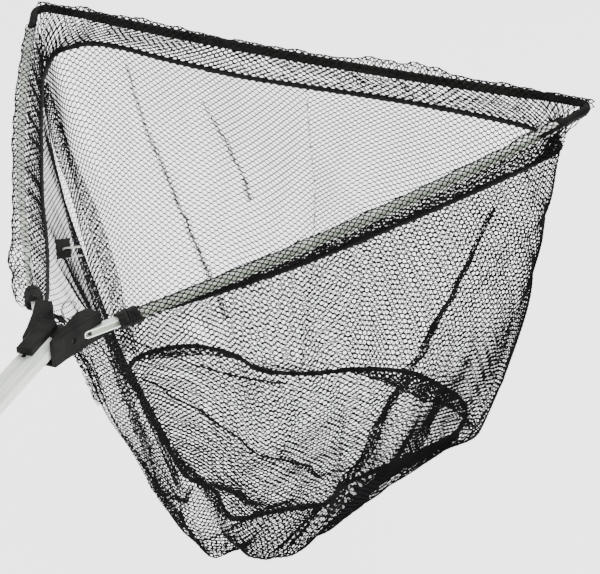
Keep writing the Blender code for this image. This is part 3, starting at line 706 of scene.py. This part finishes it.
def pleat(name, surface, across, down, width, cad, thick=0.68):
    """A fold of netting, three layers deep, that follows stops on the surface and widens downwards."""
    knots = np.linspace(0, 1, len(across))
    v = np.linspace(0, 1, 120)
    one, two = np.interp(v, knots, across), np.interp(v, knots, down)
    path = surface(one, two)
    long = path_length(path)
    step = 0.004
    scale = np.linalg.norm(surface(one + step, two) - path, axis=1) / step

    def place(u, v_here):
        layer = np.abs((1.5 * u) % 1 * 2 - 1) - 0.5
        swell = (0.25 + 0.75 * v_here) * width / np.interp(v_here, v, scale)
        wobble = 0.25 * waves(v_here, 201, 6, 2, 9)
        turned = np.interp(v_here, knots, across) + (layer + wobble) * swell
        at = surface(turned, np.interp(v_here, knots, down))
        at[:, :2] += (0.0016 * (u - 0.5))[:, None]
        return at

    piece = netting(name, place, width * 1.2, width * 4, long, thick)
    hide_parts(cad)
    hang(piece)


def folds():
    right, front, left = "net_wall_right", "net_wall_front", "net_wall_left"
    pleat("net_fold_right", on_bag, (0.905, 0.775, 0.69, 0.64, 0.595, 0.55),
          (0.07, 0.19, 0.29, 0.37, 0.50, 0.74), 0.0200, right)
    pleat("net_fold_corner", on_bag, (0.985, 0.950, 0.930), (0.58, 0.75, 0.92), 0.0058, right)
    pleat("net_fold_near", on_bag, (0.095, 0.16, 0.235, 0.30, 0.385),
          (0.058, 0.125, 0.183, 0.225, 0.283), 0.0050, right, 0.64)
    pleat("net_fold_front", on_bag, (1.805, 1.795, 1.765, 1.735, 1.69),
          (0.05, 0.242, 0.458, 0.642, 0.842), 0.0056, front)
    pleat("net_fold_front_short", on_bag, (1.685, 1.66, 1.635, 1.63),
          (0.125, 0.233, 0.358, 0.44), 0.0050, front, 0.64)
    pleat("net_fold_bottom", on_bottom, (0.025, 0.094, 0.244, 0.40, 0.581, 0.756),
          (0.106, 0.256, 0.355, 0.39, 0.456, 0.569), 0.0080, "net_base")
    pleat("net_fold_rear", on_bag, (2.865, 2.87, 2.83, 2.795, 2.72),
          (0.62, 0.72, 0.80, 0.867, 0.975), 0.0070, left)
    pleat("net_fold_rear_low", on_bag, (0.09, 0.07, 0.035), (0.592, 0.658, 0.783), 0.0060, right)


def bunch(name, stops, width, radius, seed, cad, thick=0.8):
    """Netting gathered into a loose rope along a path."""
    path = even(curve(stops), 160)
    along = np.gradient(path, axis=0)
    along /= np.linalg.norm(along, axis=1)[:, None]
    side = np.cross(along, (0.3, 0.2, 1.0))
    side /= np.linalg.norm(side, axis=1)[:, None]
    other = np.cross(along, side)
    length = path_length(path)

    def place(u, v):
        spot = v * (len(path) - 1)
        i = np.clip(spot.astype(int), 0, len(path) - 2)
        f = (spot - i)[:, None]
        centre = path[i] * (1 - f) + path[i + 1] * f
        a = radius * (waves(u + 0.15 * waves(v, seed, 5, 1, 5), seed + 1, 5, 1.2, 3.0)
                      + 0.15 * waves(v, seed + 4, 6, 3, 20))
        b = radius * (waves(u + 0.15 * waves(v, seed + 2, 5, 1, 5), seed + 3, 5, 1.2, 3.0)
                      + 0.15 * waves(v + u, seed + 5, 6, 3, 20))
        return centre + side[i] * a[:, None] + other[i] * b[:, None]

    piece = netting(name, place, width, width, length, thick)
    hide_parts(cad)
    hang(piece)


def gathers():
    """The bunched netting at the rear corner, under the yoke and along the bottom seam's left side."""
    left = "net_wall_left"
    bunch("net_gather_rear", seam((2.97, 2.95, 2.93, 2.92), (0.02, 0.10, 0.20, 0.34)),
          0.050, 0.0056, 101, left, 0.5)
    bunch("net_gather_left", seam((2.72, 2.775, 2.805, 2.815, 2.86, 2.865),
                                  (0.40, 0.475, 0.55, 0.617, 0.69, 0.76)),
          0.048, 0.0058, 111, left, 0.55)
    bunch("net_gather_seam", seam((2.05, 2.3, 2.55, 2.8, 2.95), (0.985,) * 5),
          0.030, 0.0046, 121, left, 0.65)


def seam(turns, downs):
    return on_bag(np.array(turns), np.array(downs))


# ---- Tapes and cords ----
def strip(name, path, wide, thick, finish, seed=1, lump=0.12):
    """A soft band of oval section along a path, a little uneven along its length."""
    count = len(path)
    along = np.gradient(path, axis=0)
    along /= np.linalg.norm(along, axis=1)[:, None]
    side = np.cross(along, (0, 0, 1.0))
    side /= np.linalg.norm(side, axis=1)[:, None]
    up = np.cross(side, along)
    sides = 10
    far = np.linspace(0, 1, count)
    swell = 1 + lump * waves(far, seed, 8, 5, 60)
    rings = []
    for k in range(sides):
        turn = 2 * np.pi * k / sides
        c, s = math.cos(turn), math.sin(turn)
        c, s = math.copysign(abs(c) ** 0.7, c), math.copysign(abs(s) ** 0.7, s)
        rings.append(path + side * (c * thick / 2 * swell)[:, None] + up * (s * wide / 2 * swell)[:, None])
    points = np.stack(rings, 1).reshape(-1, 3)
    faces = []
    for row in range(count - 1):
        for k in range(sides):
            a, b = row * sides + k, row * sides + (k + 1) % sides
            faces.append((a, b, b + sides, a + sides))
    middle, end = len(points), (count - 1) * sides
    points = np.vstack([points, path[:1] - along[:1] * thick * 0.2, path[-1:] + along[-1:] * thick * 0.2])
    for k in range(0, sides, 2):
        a, b, c = k, (k + 1) % sides, (k + 2) % sides
        faces.append((middle, c, b, a))
        faces.append((middle + 1, end + a, end + b, end + c))
    made = quads(name, points, np.array(faces))
    made.data.materials.append(finish)
    return made


def tapes():
    half = SIDE + SIDE // 2
    rim_nodes = ("rim_tape_right", "rim_tape_front", "rim_tape_left")
    for row, name, wide, thick, lump, cad in (
            (0, "rim_tape_piece_", 0.0050, 0.0036, 0.14, rim_nodes),
            (-1, "base_tape_piece_", 0.0046, 0.0040, 0.16, ("base_tape",))):
        ring = np.vstack([GRID[row], GRID[row, :1]])
        for right_side, word in ((True, "right"), (False, "left")):
            path = even(ring[:half + 1] if right_side else ring[half:], 320)
            piece = strip(name + word, path, wide, thick, TAPE_MATERIAL, 40 + row, lump)
            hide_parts(*cad)
            hang(piece)


def front_cord():
    """The front cord in its woven sleeve, in two halves."""
    for right_side, word in ((True, "right"), (False, "left")):
        bar = front_bar(161, CORD_HALF)
        half = bar[:81] if right_side else bar[80:]
        piece = strip("front_cord_piece_" + word, half, 0.0088, 0.0088, CORD_MATERIAL, 9, 0.03)
        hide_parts("front_cord")
        hang(piece)


def bindings():
    """Tape wound round each arm where the hem ends, a little untidily."""
    for right_side, word in ((True, "right"), (False, "left")):
        turns = 7.0
        t = np.linspace(0, 1, 330)
        at = 0.050 + 0.036 * t + 0.0035 * np.sin(2 * np.pi * turns * t + 1.0) * waves(t, 15, 4, 1, 4)
        line = arm_line(at)
        outward = sideways(arm_line(0.050 + 0.036 * t))
        angle = 2 * np.pi * turns * t
        radius = 0.0062 + 0.0010 * waves(t, 17, 5, 2, 9)
        path = line + outward * (radius * np.cos(angle))[:, None]
        path[:, 2] += radius * np.sin(angle)
        path = path if right_side else mirror(path)[::-1]
        piece = strip("binding_" + word, path, 0.0046, 0.0046, TAPE_MATERIAL, 19, 0.25)
        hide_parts("sleeve_binding_" + word)
        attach(piece, word + "_arm")


def dress_cad():
    looks = {
        "aluminium": ("handle_tube_outer", "handle_tube_inner", "arm_left", "arm_right"),
        "plastic": ("end_cap", "tube_collar", "lock_nut", "inner_bush", "handle_nose", "latch_slider", "yoke",
                    "tape_buckle"),
        "foam": ("grip",),
        "rubber": ("arm_tip_left", "arm_tip_right"),
        "pin": ("fold_pin", "arm_pin_left", "arm_pin_right"),
        "steel": ("net_tie_ring", "tape_buckle_pin"),
    }
    finishes = {
        "aluminium": aluminium(),
        "plastic": plastic("moulded_plastic", (0.004, 0.004, 0.004), (0.009, 0.009, 0.008), 0.55),
        "foam": foam(),
        "rubber": plastic("tip_plastic", (0.003, 0.003, 0.003), (0.007, 0.007, 0.006), 0.6),
        "pin": plastic("blackened_steel", (0.010, 0.010, 0.010), (0.020, 0.020, 0.020), 0.35),
        "steel": steel(),
    }
    for look, names in looks.items():
        for name in names:
            data = frame["nodes"][name].data
            data.materials.clear()
            data.materials.append(finishes[look])


camera()
studio()
TAPE_MATERIAL = woven("woven_tape", (0.0015, 0.0015, 0.0015), (0.005, 0.005, 0.0045), 900.0)
CORD_MATERIAL = woven("cord_sleeve", (0.002, 0.002, 0.0017), (0.009, 0.009, 0.007), 700.0)
THREAD_MATERIAL = thread()
dress_cad()
bag()
flap()
bottom()
hems()
gathers()
folds()
tapes()
front_cord()
bindings()
